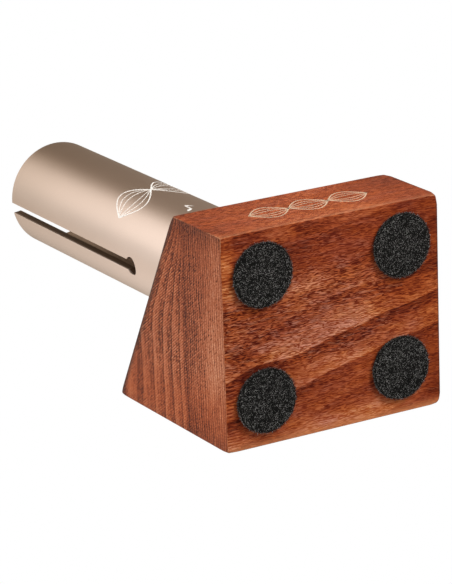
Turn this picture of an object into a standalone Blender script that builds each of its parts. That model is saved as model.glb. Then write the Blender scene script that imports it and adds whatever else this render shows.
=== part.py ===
# Wah-wah tube: a slotted metal tube that stands in a sloped wooden block on four felt feet.
# Metres, +Z up. The origin is under the middle of the block, on the plane that the felts stand on.
# -Y is the low front of the block, and +X is its right-hand side seen from the front.

import math

import bmesh
import bpy
from mathutils import Matrix

# Wooden block, a wedge with its grain across the width
BLOCK_WIDTH = 0.106
BLOCK_DEPTH = 0.0933
BLOCK_FRONT_HEIGHT = 0.0395
BLOCK_BACK_HEIGHT = 0.0926
BLOCK_EDGE_RADIUS = 0.0012
BLOCK_EDGE_STEPS = 3

# Metal tube, with one saw cut through both walls
TUBE_DIAMETER = 0.050
TUBE_WALL = 0.004
TUBE_LENGTH = 0.230
TUBE_TURN = math.radians(-7.5)
TUBE_CHAMFER = 0.0004
SLOT_WIDTH = 0.005
SLOT_LENGTH = 0.1173
RELIEF_DIAMETER = 0.0085

# Blind socket in the block, and the glue line round the tube in it
SOCKET_FLOOR = 0.0178
GLUE_THICKNESS = 0.0003
GLUE_SETBACK = 0.001

# Felt feet: each centre is measured in from the nearest side and the nearest end of the block
FELT_DIAMETER = 0.028
FELT_THICKNESS = 0.0018
FELT_EDGE_RADIUS = 0.0003
FELT_EDGE_STEPS = 2
ADHESIVE_DIAMETER = 0.027
ADHESIVE_THICKNESS = 0.0002
FEET = {
    "front_left": {"side": -1, "end": -1, "from_side": 0.0190, "from_end": 0.0189},
    "front_right": {"side": 1, "end": -1, "from_side": 0.0189, "from_end": 0.0187},
    "back_left": {"side": -1, "end": 1, "from_side": 0.0189, "from_end": 0.0199},
    "back_right": {"side": 1, "end": 1, "from_side": 0.0206, "from_end": 0.0206},
}

# Finishes: linear colour, roughness and metallic value
FINISHES = {
    "oiled_hardwood": ((0.27, 0.068, 0.027), 0.48, 0.0),
    "champagne_anodised_aluminium": ((0.62, 0.47, 0.36), 0.36, 1.0),
    "charcoal_felt": ((0.028, 0.028, 0.029), 0.95, 0.0),
    "adhesive_film": ((0.62, 0.58, 0.47), 0.5, 0.0),
    "wood_glue": ((0.55, 0.42, 0.2), 0.4, 0.0),
}

# Clearance between touching solids, how far a cutter runs past what it cuts, and facets round a circle
CONTACT_GAP = 0.0002
CUT_MARGIN = 0.003
TUBE_SEGMENTS = 96
RELIEF_SEGMENTS = 32
FELT_SEGMENTS = 64
MERGE_DISTANCE = 0.00001
SHARP_ANGLE = math.radians(30)

# Heights and radii that follow from the sizes above
ADHESIVE_BASE = FELT_THICKNESS + CONTACT_GAP
BLOCK_BASE = ADHESIVE_BASE + ADHESIVE_THICKNESS + CONTACT_GAP
TUBE_RADIUS = TUBE_DIAMETER / 2
GLUE_INNER_RADIUS = TUBE_RADIUS + CONTACT_GAP
GLUE_OUTER_RADIUS = GLUE_INNER_RADIUS + GLUE_THICKNESS
SOCKET_RADIUS = GLUE_OUTER_RADIUS + CONTACT_GAP
SOCKET_BASE = BLOCK_BASE + SOCKET_FLOOR
TUBE_BASE = SOCKET_BASE + CONTACT_GAP
TUBE_TOP = TUBE_BASE + TUBE_LENGTH
RELIEF_HEIGHT = TUBE_TOP - SLOT_LENGTH


def slope_height(y):
    """Height of the block's sloped top above the felts' plane, at y."""
    share = y / BLOCK_DEPTH + 0.5
    return BLOCK_BASE + BLOCK_FRONT_HEIGHT + share * (BLOCK_BACK_HEIGHT - BLOCK_FRONT_HEIGHT)


def clear_scene():
    for old in list(bpy.data.objects):
        bpy.data.objects.remove(old, do_unlink=True)


def new_collection(name):
    made = bpy.data.collections.new(name)
    bpy.context.scene.collection.children.link(made)
    return made


def finish(name):
    color, roughness, metallic = FINISHES[name]
    made = bpy.data.materials.new(name)
    made.use_nodes = True
    shader = made.node_tree.nodes["Principled BSDF"]
    shader.inputs["Base Color"].default_value = (*color, 1.0)
    shader.inputs["Roughness"].default_value = roughness
    shader.inputs["Metallic"].default_value = metallic
    return made


def add_piece(name, shape, collection, material):
    """Turns a bmesh into a named, smooth-shaded object with one material."""
    mesh = bpy.data.meshes.new(name)
    shape.to_mesh(mesh)
    shape.free()
    mesh.shade_smooth()
    mesh.set_sharp_from_angle(angle=SHARP_ANGLE)
    piece = bpy.data.objects.new(name, mesh)
    collection.objects.link(piece)
    if material:
        mesh.materials.append(material)
    return piece


def add_cutter(name, shape, collection):
    cutter = add_piece(name, shape, collection, None)
    cutter.hide_render = True
    cutter.display_type = "WIRE"
    return cutter


def cylinder(radius, low, high, segments):
    """A closed upright cylinder from low to high, centred on Z."""
    shape = bmesh.new()
    middle = Matrix.Translation((0, 0, (low + high) / 2))
    bmesh.ops.create_cone(
        shape,
        cap_ends=True,
        segments=segments,
        radius1=radius,
        radius2=radius,
        depth=high - low,
        matrix=middle,
    )
    return shape


def turned_ring(outer, inner, low, high, chamfer=0.0):
    """Section at +X of a ring from low to high, top to bottom on its outer side, as a closed line."""
    if chamfer:
        section = [
            (outer - chamfer, high),
            (outer, high - chamfer),
            (outer, low + chamfer),
            (outer - chamfer, low),
            (inner + chamfer, low),
            (inner, low + chamfer),
            (inner, high - chamfer),
            (inner + chamfer, high),
        ]
    else:
        section = [(outer, high), (outer, low), (inner, low), (inner, high)]
    shape = bmesh.new()
    points = [shape.verts.new((x, 0, z)) for x, z in section]
    for i, point in enumerate(points):
        shape.edges.new((point, points[(i + 1) % len(points)]))
    return shape


def spin(piece):
    """Turns a section round Z with a Screw modifier."""
    turn = piece.modifiers.new("turned", "SCREW")
    turn.angle = math.tau
    turn.steps = TUBE_SEGMENTS
    turn.render_steps = TUBE_SEGMENTS
    turn.use_merge_vertices = True
    turn.merge_threshold = MERGE_DISTANCE
    turn.use_smooth_shade = True


def round_edges(piece, radius, steps):
    ease = piece.modifiers.new("eased_edges", "BEVEL")
    ease.width = radius
    ease.segments = steps
    ease.limit_method = "ANGLE"
    ease.angle_limit = SHARP_ANGLE


def cut(piece, cutter):
    notch = piece.modifiers.new("cut_" + cutter.name, "BOOLEAN")
    notch.operation = "DIFFERENCE"
    notch.solver = "EXACT"
    notch.object = cutter


def build_block(parts, cutters, wood):
    """A box whose top corners are drawn to the front and back heights, with a blind socket for the tube."""
    shape = bmesh.new()
    bmesh.ops.create_cube(shape, size=1.0)
    for corner in shape.verts:
        top = BLOCK_FRONT_HEIGHT if corner.co.y < 0 else BLOCK_BACK_HEIGHT
        corner.co.x *= BLOCK_WIDTH
        corner.co.y *= BLOCK_DEPTH
        corner.co.z = BLOCK_BASE + (top if corner.co.z > 0 else 0.0)
    block = add_piece("base_block", shape, parts, wood)
    round_edges(block, BLOCK_EDGE_RADIUS, BLOCK_EDGE_STEPS)
    highest = BLOCK_BASE + max(BLOCK_FRONT_HEIGHT, BLOCK_BACK_HEIGHT)
    bore = cylinder(SOCKET_RADIUS, SOCKET_BASE, highest + CUT_MARGIN, TUBE_SEGMENTS)
    cut(block, add_cutter("socket_cutter", bore, cutters))


def build_tube(parts, cutters, metal):
    """A turned tube with a saw cut from its mouth to a drilled relief hole, through both walls along X."""
    inner = TUBE_RADIUS - TUBE_WALL
    section = turned_ring(TUBE_RADIUS, inner, TUBE_BASE, TUBE_TOP, TUBE_CHAMFER)
    tube = add_piece("tube", section, parts, metal)
    spin(tube)

    reach = TUBE_DIAMETER + 2 * CUT_MARGIN
    slot_top = TUBE_TOP + CUT_MARGIN
    saw = bmesh.new()
    bmesh.ops.create_cube(saw, size=1.0)
    bmesh.ops.scale(saw, vec=(reach, SLOT_WIDTH, slot_top - RELIEF_HEIGHT), verts=saw.verts)
    bmesh.ops.translate(saw, vec=(0, 0, (slot_top + RELIEF_HEIGHT) / 2), verts=saw.verts)
    saw_cutter = add_cutter("slot_cutter", saw, cutters)

    drill = cylinder(RELIEF_DIAMETER / 2, -reach / 2, reach / 2, RELIEF_SEGMENTS)
    lay_along_x = Matrix.Translation((0, 0, RELIEF_HEIGHT)) @ Matrix.Rotation(math.pi / 2, 4, "Y")
    bmesh.ops.transform(drill, matrix=lay_along_x, verts=drill.verts)
    drill_cutter = add_cutter("relief_cutter", drill, cutters)

    for cutter in (saw_cutter, drill_cutter):
        cutter.parent = tube
        cut(tube, cutter)
    tube.rotation_euler.z = TUBE_TURN


def build_glue(parts, glue):
    """The glue line fills the socket's clearance up to just under the low side of its mouth."""
    top = slope_height(-SOCKET_RADIUS) - GLUE_SETBACK
    ring = turned_ring(GLUE_OUTER_RADIUS, GLUE_INNER_RADIUS, TUBE_BASE, top)
    spin(add_piece("tube_glue_sleeve", ring, parts, glue))


def build_foot(name, place, parts, felt, adhesive):
    """A felt disc and, between it and the wood, its disc of adhesive film."""
    x = place["side"] * (BLOCK_WIDTH / 2 - place["from_side"])
    y = place["end"] * (BLOCK_DEPTH / 2 - place["from_end"])

    disc = cylinder(FELT_DIAMETER / 2, 0, FELT_THICKNESS, FELT_SEGMENTS)
    pad = add_piece("felt_pad_" + name, disc, parts, felt)
    round_edges(pad, FELT_EDGE_RADIUS, FELT_EDGE_STEPS)

    film_top = ADHESIVE_BASE + ADHESIVE_THICKNESS
    film_disc = cylinder(ADHESIVE_DIAMETER / 2, ADHESIVE_BASE, film_top, FELT_SEGMENTS)
    film = add_piece("pad_adhesive_" + name, film_disc, parts, adhesive)

    for piece in (pad, film):
        piece.location = (x, y, 0)


def main():
    clear_scene()
    parts = new_collection("wah_wah_tube")
    cutters = new_collection("cutters")
    felt = finish("charcoal_felt")
    adhesive = finish("adhesive_film")

    build_block(parts, cutters, finish("oiled_hardwood"))
    build_tube(parts, cutters, finish("champagne_anodised_aluminium"))
    build_glue(parts, finish("wood_glue"))
    for name, place in FEET.items():
        build_foot(name, place, parts, felt, adhesive)


main()
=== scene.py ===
# Looks of the wah-wah tube: oiled hardwood block, satin tube and felt feet. Metres, in the CAD frame.
import functools
import math
import operator

import bmesh
import bpy
import numpy as np
from mathutils import Matrix, Vector


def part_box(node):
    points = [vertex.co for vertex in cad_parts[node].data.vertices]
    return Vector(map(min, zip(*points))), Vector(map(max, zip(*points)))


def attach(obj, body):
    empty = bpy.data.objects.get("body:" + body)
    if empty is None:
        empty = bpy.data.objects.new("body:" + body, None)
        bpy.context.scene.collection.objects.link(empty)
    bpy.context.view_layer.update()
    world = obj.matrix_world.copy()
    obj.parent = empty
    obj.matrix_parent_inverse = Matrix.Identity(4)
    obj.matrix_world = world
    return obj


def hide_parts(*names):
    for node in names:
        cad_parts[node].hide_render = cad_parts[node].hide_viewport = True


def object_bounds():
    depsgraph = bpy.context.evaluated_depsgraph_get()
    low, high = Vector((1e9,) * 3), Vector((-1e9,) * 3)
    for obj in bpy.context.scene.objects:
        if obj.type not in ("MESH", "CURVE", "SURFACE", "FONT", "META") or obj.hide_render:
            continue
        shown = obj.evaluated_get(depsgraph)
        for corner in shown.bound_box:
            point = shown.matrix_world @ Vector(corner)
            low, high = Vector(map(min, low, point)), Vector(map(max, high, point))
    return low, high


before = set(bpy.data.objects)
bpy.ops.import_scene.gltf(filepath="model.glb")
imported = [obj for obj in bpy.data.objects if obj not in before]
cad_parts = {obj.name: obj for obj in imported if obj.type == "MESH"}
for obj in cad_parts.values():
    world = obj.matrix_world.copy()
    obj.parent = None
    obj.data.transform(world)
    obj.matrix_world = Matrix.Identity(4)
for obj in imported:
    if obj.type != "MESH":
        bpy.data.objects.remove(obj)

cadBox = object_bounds()
print("frame loaded:", len(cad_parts), "solids")


# Mesh helpers

def gridQuads(rows, cols, closed):
    # quads of a rows x cols grid stored row by row; a closed grid joins its last column to its first
    r = np.arange(rows - 1)[:, None]
    c = np.arange(cols if closed else cols - 1)[None, :]
    after = (c + 1) % cols
    corners = (r * cols + c, r * cols + after, (r + 1) * cols + after, (r + 1) * cols + c)
    return np.stack(corners, -1).reshape(-1, 4)


def makePiece(name, patches, material, sharpAngle=40, weld=1e-6):
    # patches are (points on a grid, closed or not, values by attribute name); shared borders are welded
    grids, closings, values = zip(*patches)
    points = np.concatenate([grid.reshape(-1, 3) for grid in grids])
    starts = np.cumsum([0] + [grid.shape[0] * grid.shape[1] for grid in grids])
    quads = np.concatenate([
        gridQuads(*grid.shape[:2], closed) + start for grid, closed, start in zip(grids, closings, starts)])
    mesh = bpy.data.meshes.new(name)
    mesh.from_pydata(points.tolist(), [], quads.tolist())
    for key in sorted(set().union(*values)):
        spread = [np.broadcast_to(given.get(key, 0.0), grid.shape[:2]).ravel()
                  for given, grid in zip(values, grids)]
        data = mesh.attributes.new(key, "FLOAT", "POINT").data
        data.foreach_set("value", np.concatenate(spread).astype(np.float32))
    skin = bmesh.new()
    skin.from_mesh(mesh)
    bmesh.ops.remove_doubles(skin, verts=skin.verts, dist=weld)
    bmesh.ops.recalc_face_normals(skin, faces=skin.faces)
    skin.to_mesh(mesh)
    skin.free()
    mesh.shade_smooth()
    mesh.set_sharp_from_angle(angle=math.radians(sharpAngle))
    mesh.materials.append(material)
    piece = bpy.data.objects.new(name, mesh)
    bpy.context.scene.collection.objects.link(piece)
    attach(piece, "root")
    print("made", name, "with", len(mesh.polygons), "faces")
    return piece


def spaced(low, high, step, edge, edgeSteps):
    # stations from low to high about a step apart, drawn together by a square near both ends
    near = edge * np.linspace(0, 1, edgeSteps + 1) ** 2
    count = max(2, round((high - low - 2 * edge) / step))
    middle = np.linspace(low + edge, high - edge, count + 1)[1:-1]
    return np.concatenate([low + near, middle, (high - near)[::-1]])


def portion(value, start, end):
    # 0 at start and 1 at end, straight between them and level beyond
    return np.clip((value - start) / (end - start), 0, 1)


def polar(radius, angle):
    # flat points at a radius and an angle
    return np.stack([radius * np.cos(angle), radius * np.sin(angle)], -1)


# Shader helpers

class Wire:
    # an output of a node, used like a number, vector or colour; each sign or call adds the node for it
    def __init__(self, socket):
        self.socket = socket
        self.tree = socket.id_data

    def also(self, key):
        # another output of the same node
        return Wire(self.socket.node.outputs[key])

    def split(self):
        x = addNode(self.tree, "ShaderNodeSeparateXYZ", {0: self})
        return x, x.also(1), x.also(2)

    def maths(self, operation, *others, **settings):
        inputs = dict(enumerate((self, *others)))
        return addNode(self.tree, "ShaderNodeMath", inputs, operation=operation, **settings)

    def vector(self, operation, *others, out=0):
        inputs = dict(enumerate((self, *others)))
        return addNode(self.tree, "ShaderNodeVectorMath", inputs, out, operation=operation)

    __add__ = functools.partialmethod(maths, "ADD")
    __sub__ = functools.partialmethod(maths, "SUBTRACT")
    __rsub__ = functools.partialmethod(maths, "MULTIPLY_ADD", -1.0)
    __mul__ = functools.partialmethod(maths, "MULTIPLY")
    __truediv__ = functools.partialmethod(maths, "DIVIDE")
    __abs__ = functools.partialmethod(maths, "ABSOLUTE")
    larger = functools.partialmethod(maths, "MAXIMUM")
    smaller = functools.partialmethod(maths, "MINIMUM")

    def onto(self, total, share):
        # total plus this value times its share
        return self.maths("MULTIPLY_ADD", share, total)

    def ramp(self, fromLow, fromHigh, toLow=0.0, toHigh=1.0, kind="SMOOTHSTEP"):
        span = {"From Min": fromLow, "From Max": fromHigh, "To Min": toLow, "To Max": toHigh}
        return addNode(self.tree, "ShaderNodeMapRange", {"Value": self, **span}, interpolation_type=kind)

    def line(self, toLow, toHigh):
        return self.ramp(0.0, 1.0, toLow, toHigh, "LINEAR")

    def level(self, a, b):
        # number a where this share is 0, number b where it is 1
        return addNode(self.tree, "ShaderNodeMix", {0: self, 2: a, 3: b}, data_type="FLOAT")

    def between(self, a, b):
        # colour a where this share is 0, colour b where it is 1
        inputs = {0: self, 6: opaque(a), 7: opaque(b)}
        return addNode(self.tree, "ShaderNodeMix", inputs, 2, data_type="RGBA")

    def tinted(self, tint):
        # this colour times a tint, or times a number from a wire
        inputs = {0: 1.0, 6: self, 7: opaque(tint)}
        return addNode(self.tree, "ShaderNodeMix", inputs, 2, data_type="RGBA", blend_type="MULTIPLY")

    def coloured(self, stops):
        made = addNode(self.tree, "ShaderNodeValToRGB", {"Fac": self})
        elements = made.socket.node.color_ramp.elements
        while len(elements) < len(stops):
            elements.new(0.5)
        for element, (place, colour) in zip(elements, stops):
            element.position = place
            element.color = opaque(colour)
        return made

    def stretched(self, scale, shift=(0, 0, 0)):
        return addNode(self.tree, "ShaderNodeMapping", {"Vector": self, "Scale": scale, "Location": shift})

    def noise(self, detail, scale=1.0, roughness=0.5, swirl=0.0, out="Fac"):
        grain = {"Detail": detail, "Roughness": roughness, "Distortion": swirl}
        return addNode(self.tree, "ShaderNodeTexNoise", {"Vector": self, "Scale": scale, **grain}, out)

    def swayed(self, sway, reach):
        # this vector, pushed by a noise's colour up to half a reach to either side
        return sway.vector("SUBTRACT", (0.5, 0.5, 0.5)).vector("MULTIPLY_ADD", reach, self)

    def bumped(self, strength, distance):
        inputs = {"Height": self, "Strength": strength, "Distance": distance}
        return addNode(self.tree, "ShaderNodeBump", inputs)

    def mottled(self, stretch, contrast, detail=3.0, swirl=0.0):
        look = {"Stretch": stretch, "Contrast": contrast, "Detail": detail, "Swirl": swirl}
        return addNode(self.tree, "ShaderNodeGroup", {"Vector": self, **look}, node_tree=mottle)

    def rubbed(self, worn, scale, reach):
        inputs = {"Vector": self, "Worn": worn, "Scale": scale, "Reach": reach}
        return addNode(self.tree, "ShaderNodeGroup", inputs, node_tree=rubbedEdge)

    def spot(self, middle, reach):
        inputs = {"Vector": self, "Middle": middle, "Reach": reach}
        return addNode(self.tree, "ShaderNodeGroup", inputs, node_tree=softSpot)


def setInputs(node, inputs):
    for key, value in inputs.items():
        if isinstance(value, Wire):
            node.id_data.links.new(value.socket, node.inputs[key])
        else:
            node.inputs[key].default_value = value


def addNode(tree, kind, inputs=None, out=0, **settings):
    # settings come first, because they decide which sockets a node has
    made = tree.nodes.new(kind)
    for key, value in settings.items():
        setattr(made, key, value)
    setInputs(made, inputs or {})
    return Wire(made.outputs[out])


def opaque(colour):
    return colour if isinstance(colour, Wire) else (*colour, 1.0)


def attribute(tree, name):
    return addNode(tree, "ShaderNodeAttribute", out="Fac", attribute_name=name)


def facing(tree):
    # the surface's direction, split into x, y and z
    return addNode(tree, "ShaderNodeTexCoord", out="Normal").split()


toMillimetres = (1000.0, 1000.0, 1000.0)


def newMaterial(name, shift=(0, 0, 0)):
    # a material, its shader, and its Object coordinates in millimetres
    made = bpy.data.materials.new(name)
    made.use_nodes = True
    place = addNode(made.node_tree, "ShaderNodeTexCoord", out="Object")
    return made, made.node_tree.nodes["Principled BSDF"], place.stretched(toMillimetres, shift)


def newGroup(name, inputs, output):
    # a group with one output; its inputs come with their first values, a tuple for a vector
    group = bpy.data.node_groups.new(name, "ShaderNodeTree")
    for key, value in inputs.items():
        kind = "NodeSocketVector" if isinstance(value, tuple) else "NodeSocketFloat"
        group.interface.new_socket(key, in_out="INPUT", socket_type=kind).default_value = value
    group.interface.new_socket(output, in_out="OUTPUT", socket_type="NodeSocketFloat")
    given = group.nodes.new("NodeGroupInput").outputs
    return group, {key: Wire(given[key]) for key in inputs}, group.nodes.new("NodeGroupOutput")


effects = {
    "rubbedNoise": {"detail": 4.0, "roughness": 0.6},
    "rubbedFrom": (0.55, 0.95),
    "spotFade": (0.25, 1.0, 1.0, 0.0),
}


def makeMottle():
    # noise on a stretched vector, spread about its middle by a contrast: 0 to 1
    first = {"Vector": (0, 0, 0), "Stretch": (1, 1, 1), "Detail": 3.0, "Swirl": 0.0, "Contrast": 1.0}
    group, given, out = newGroup("mottle", first, "Value")
    pulled = given["Vector"].vector("MULTIPLY", given["Stretch"])
    middle = pulled.noise(given["Detail"], swirl=given["Swirl"]) - 0.5
    setInputs(out, {"Value": middle.maths("MULTIPLY_ADD", given["Contrast"], 0.5, use_clamp=True)})
    return group


def makeRubbed():
    # an edge value, broken up by noise: 1 where the edge is rubbed bare
    first = {"Vector": (0, 0, 0), "Worn": 0.0, "Scale": 1.0, "Reach": 0.5}
    group, given, out = newGroup("rubbedEdge", first, "Mask")
    cloud = given["Vector"].noise(scale=given["Scale"], **effects["rubbedNoise"])
    lifted = given["Worn"] + (cloud - given["Reach"])
    setInputs(out, {"Mask": lifted.ramp(*effects["rubbedFrom"])})
    return group


def makeSpot():
    # 1 in the middle of an ellipsoid, falling smoothly to 0 at its surface
    first = {"Vector": (0, 0, 0), "Middle": (0, 0, 0), "Reach": (1, 1, 1)}
    group, given, out = newGroup("softSpot", first, "Mask")
    away = given["Vector"].vector("SUBTRACT", given["Middle"]).vector("DIVIDE", given["Reach"])
    setInputs(out, {"Mask": away.vector("LENGTH", out="Value").ramp(*effects["spotFade"])})
    return group


mottle = makeMottle()
rubbedEdge = makeRubbed()
softSpot = makeSpot()


def makeSpeckled(name, look):
    # a mottle runs between two roughnesses, and between two colours by the look's step
    material, shader, raw = newMaterial(name)
    cloud = raw.mottled(*look["mottle"])
    setInputs(shader, {
        "Base Color": cloud.ramp(*look["step"]).between(*look["colours"]),
        "Roughness": cloud.line(*look["roughness"]),
    })
    return material


# Camera at the photograph's angle, low in front of the left side, with the front of the block upwards

cameraRig = {
    "place": (-0.6505, -0.4094, -1.0424),
    "forward": (0.4739, 0.3051, 0.8260),
    "up": (0.1844, -0.9516, 0.2458),
    "focalPixels": 3109.6,
    "imageHeight": 584,
    "sensor": 36.0,
}


def addCamera(rig):
    data = bpy.data.cameras.new("camera")
    data.sensor_width = rig["sensor"]
    data.lens = rig["sensor"] * rig["focalPixels"] / rig["imageHeight"]
    forward = Vector(rig["forward"]).normalized()
    right = forward.cross(Vector(rig["up"])).normalized()
    turn = Matrix((right, right.cross(forward), -forward)).transposed()
    camera = bpy.data.objects.new("camera", data)
    bpy.context.scene.collection.objects.link(camera)
    camera.matrix_world = Matrix.Translation(rig["place"]) @ turn.to_4x4()
    bpy.context.scene.camera = camera


addCamera(cameraRig)
print("camera placed")


# Wooden block

block = {
    "frontHeight": 0.0395,
    "backHeight": 0.0926,
    "edgeRadius": 0.0004,
    "cornerRadius": (0.0012, 0.0020),   # corners of the left-hand and right-hand ends, sanded rounder
    "roundReach": 0.005,
    "cornerReach": 0.014,
    "edgeWidth": 0.0014,      # wear on an edge, and the paler wood along the long edges underneath
    "lipWidth": 0.0034,
    # width of the painted shade along the right-hand edge
    "rightShadeWidth": 0.0012,
    # ends darker along the back, the slope and the front: share, width
    "soil": [(0.24, 0.0050), (1.00, 0.0034), (0.30, 0.0050)],
    "step": 0.0016,
    "edgeReach": 0.003,
    "edgeSteps": 12,
    "upStep": 0.025,          # rows up a side and rows near its edges, as shares of its height
    "upEdge": 0.045,
    "slopeEdge": 0.0039,
    "slopeRows": 22,
    "socketRadius": 0.0257,
    "socketFloor": 0.0178,
    "mouthEase": 0.0003,
    "floorRings": (1.0, 0.98, 0.5, 0.0),
}
blockLow, blockHigh = np.array(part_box("base_block"))
block["base"] = blockLow[2]


def slopeHeight(y):
    # straight line from the front height at the front face to the back height at the back face
    share = (y - blockLow[1]) / (blockHigh[1] - blockLow[1])
    return block["base"] + block["frontHeight"] + share * (block["backHeight"] - block["frontHeight"])


def sideOutline():
    # the four corners of the block's side, y and z, anticlockwise from the front foot
    front, back, base = blockLow[1], blockHigh[1], block["base"]
    return np.array([(front, base), (back, base), (back, slopeHeight(back)), (front, slopeHeight(front))])


def sideWays(outline):
    # unit vectors along the outline's sides
    ahead = np.roll(outline, -1, 0) - outline
    return ahead / np.linalg.norm(ahead, axis=1)[:, None]


def insetOutline(outline, inset):
    # each side moved inwards by the inset, and each corner where its two moved sides cross
    ahead = sideWays(outline)
    inwards = np.stack([-ahead[:, 1], ahead[:, 0]], -1)
    level = (inwards * outline).sum(1) + inset
    before = np.roll(np.arange(len(outline)), 1)
    return np.stack([np.linalg.solve(inwards[[b, i]], level[[b, i]]) for i, b in enumerate(before)])


def nearestOn(outline, flat):
    # nearest point of a convex outline's area: the point itself inside, else its foot on the nearest side
    ahead = np.roll(outline, -1, -2) - outline
    offset = flat[..., None, :] - outline
    along = np.clip((offset * ahead).sum(-1) / (ahead ** 2).sum(-1), 0, 1)
    feet = outline + along[..., None] * ahead
    nearest = np.argmin(((flat[..., None, :] - feet) ** 2).sum(-1), -1)
    chosen = np.take_along_axis(feet, nearest[..., None, None], -2)[..., 0, :]
    inside = (ahead[..., 0] * offset[..., 1] - ahead[..., 1] * offset[..., 0] >= 0).all(-1)
    return np.where(inside[..., None], flat, chosen)


def endGap(points):
    # distance from the nearer end of the block
    return np.minimum(points[..., 0] - blockLow[0], blockHigh[0] - points[..., 0])


def cornerGap(points):
    # distance from the nearest of the wedge's eight corners
    sideGap = np.linalg.norm(points[..., None, 1:] - sideOutline(), axis=-1).min(-1)
    return np.hypot(endGap(points), sideGap)


def easedBlock(points):
    # a point of the sharp wedge goes out from the nearest point of an inset core by the edge radius, which
    # grows by a smooth step towards each corner
    near = portion(cornerGap(points), block["roundReach"], 0)
    least, (left, right) = block["edgeRadius"], block["cornerRadius"]
    radius = least + (np.where(points[..., 0] > 0, right, left) - least) * near ** 2 * (3 - 2 * near)
    outline = sideOutline()
    corners = outline + radius[..., None, None] * (insetOutline(outline, 1.0) - outline)
    core = np.empty_like(points)
    core[..., 0] = np.clip(points[..., 0], blockLow[0] + radius, blockHigh[0] - radius)
    core[..., 1:] = nearestOn(corners, points[..., 1:])
    out = points - core
    return core + radius[..., None] * out / np.linalg.norm(out, axis=-1)[..., None]


def wearAndShadeValues(points):
    # from distances to the wedge's planes, 1 at nothing to 0 at a width: edge by the second smallest, lip
    # by the underside's with the front's or back's, dark rim by the largest share of back, slope and front,
    # corner by the distance from the nearest corner, and painted shade of the right-hand edge by the
    # right-hand end's
    outline = sideOutline()
    ahead = sideWays(outline)
    across = points[..., None, 1:] - outline
    depth = np.maximum(ahead[:, 0] * across[..., 1] - ahead[:, 1] * across[..., 0], 0)
    second = np.sort(np.concatenate([depth, endGap(points)[..., None]], -1), -1)[..., 1]
    long = np.hypot(depth[..., 0], np.minimum(depth[..., 1], depth[..., 3]))
    share, width = np.array(block["soil"]).T
    return {
        "edge": portion(second, block["edgeWidth"], 0),
        "lip": portion(long, block["lipWidth"], 0),
        "soil": (share * portion(depth[..., 1:], width, 0)).max(-1),
        "corner": portion(cornerGap(points), block["cornerReach"], 0),
        # painted shade along the right-hand edge
        "dusk": portion(blockHigh[0] - points[..., 0], block["rightShadeWidth"], 0),
    }


def flatPatch(a, b, place):
    # grid over two station lists, put in space by place(a, b)
    p, q = np.meshgrid(a, b, indexing="ij")
    return np.stack(np.broadcast_arrays(*place(p, q)), -1)


def blockPatches():
    # five flat faces as grids and the slope as rays, all eased to the rounded wedge, and the turned socket
    left, front, base = blockLow
    right, back = blockHigh[:2]
    xs = spaced(left, right, block["step"], block["edgeReach"], block["edgeSteps"])
    ys = spaced(front, back, block["step"], block["edgeReach"], block["edgeSteps"])
    ups = spaced(0, 1, block["upStep"], block["upEdge"], block["edgeSteps"])
    sharp = [
        flatPatch(xs, ys, lambda x, y: (x, y, base)),
        flatPatch(xs, ups, lambda x, u: (x, front, base + u * block["frontHeight"])),
        flatPatch(xs, ups, lambda x, u: (x, back, base + u * block["backHeight"])),
    ]
    for side in (left, right):
        sharp.append(flatPatch(ys, ups, lambda y, u: (side, y, base + u * (slopeHeight(y) - base))))
    # slope: rays from the rim of the slope in to the socket's mouth, one for each point of the rim
    rim = np.concatenate([
        np.stack([xs, xs * 0 + front], -1)[:-1], np.stack([ys * 0 + right, ys], -1)[:-1],
        np.stack([xs, xs * 0 + back], -1)[:0:-1], np.stack([ys * 0 + left, ys], -1)[:0:-1]])
    away = rim / np.linalg.norm(rim, axis=1)[:, None]
    mouth = away * (block["socketRadius"] + block["mouthEase"])
    length = np.linalg.norm(rim - mouth, axis=1)[:, None]
    near = block["slopeEdge"] * np.linspace(0, 1, block["edgeSteps"] + 1)[:, None, None] ** 2 / length
    far = near[-1] + (1 - near[-1]) * np.linspace(0, 1, block["slopeRows"])[1:, None, None]
    plan = rim + np.concatenate([near, far]) * (mouth - rim)
    slope = np.concatenate([plan, slopeHeight(plan[..., 1:])], -1)
    patches = [(easedBlock(points), False, wearAndShadeValues(points)) for points in sharp]
    patches.append((easedBlock(slope), True, wearAndShadeValues(slope)))
    # socket: eased mouth, straight wall, flat floor
    lip = away * block["socketRadius"]
    top = slopeHeight(lip[:, 1]) - block["mouthEase"]
    floor = top * 0 + base + block["socketFloor"]
    rings = [
        (mouth, slopeHeight(mouth[:, 1])), (lip, top), (lip, top - block["mouthEase"]),
        (lip, (top + floor) / 2), (lip, floor + block["mouthEase"])]
    rings += [(lip * share, floor) for share in block["floorRings"]]
    socket = np.stack([np.concatenate([flat, z[:, None]], -1) for flat, z in rings])
    patches.append((socket, True, {}))
    return patches


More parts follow.
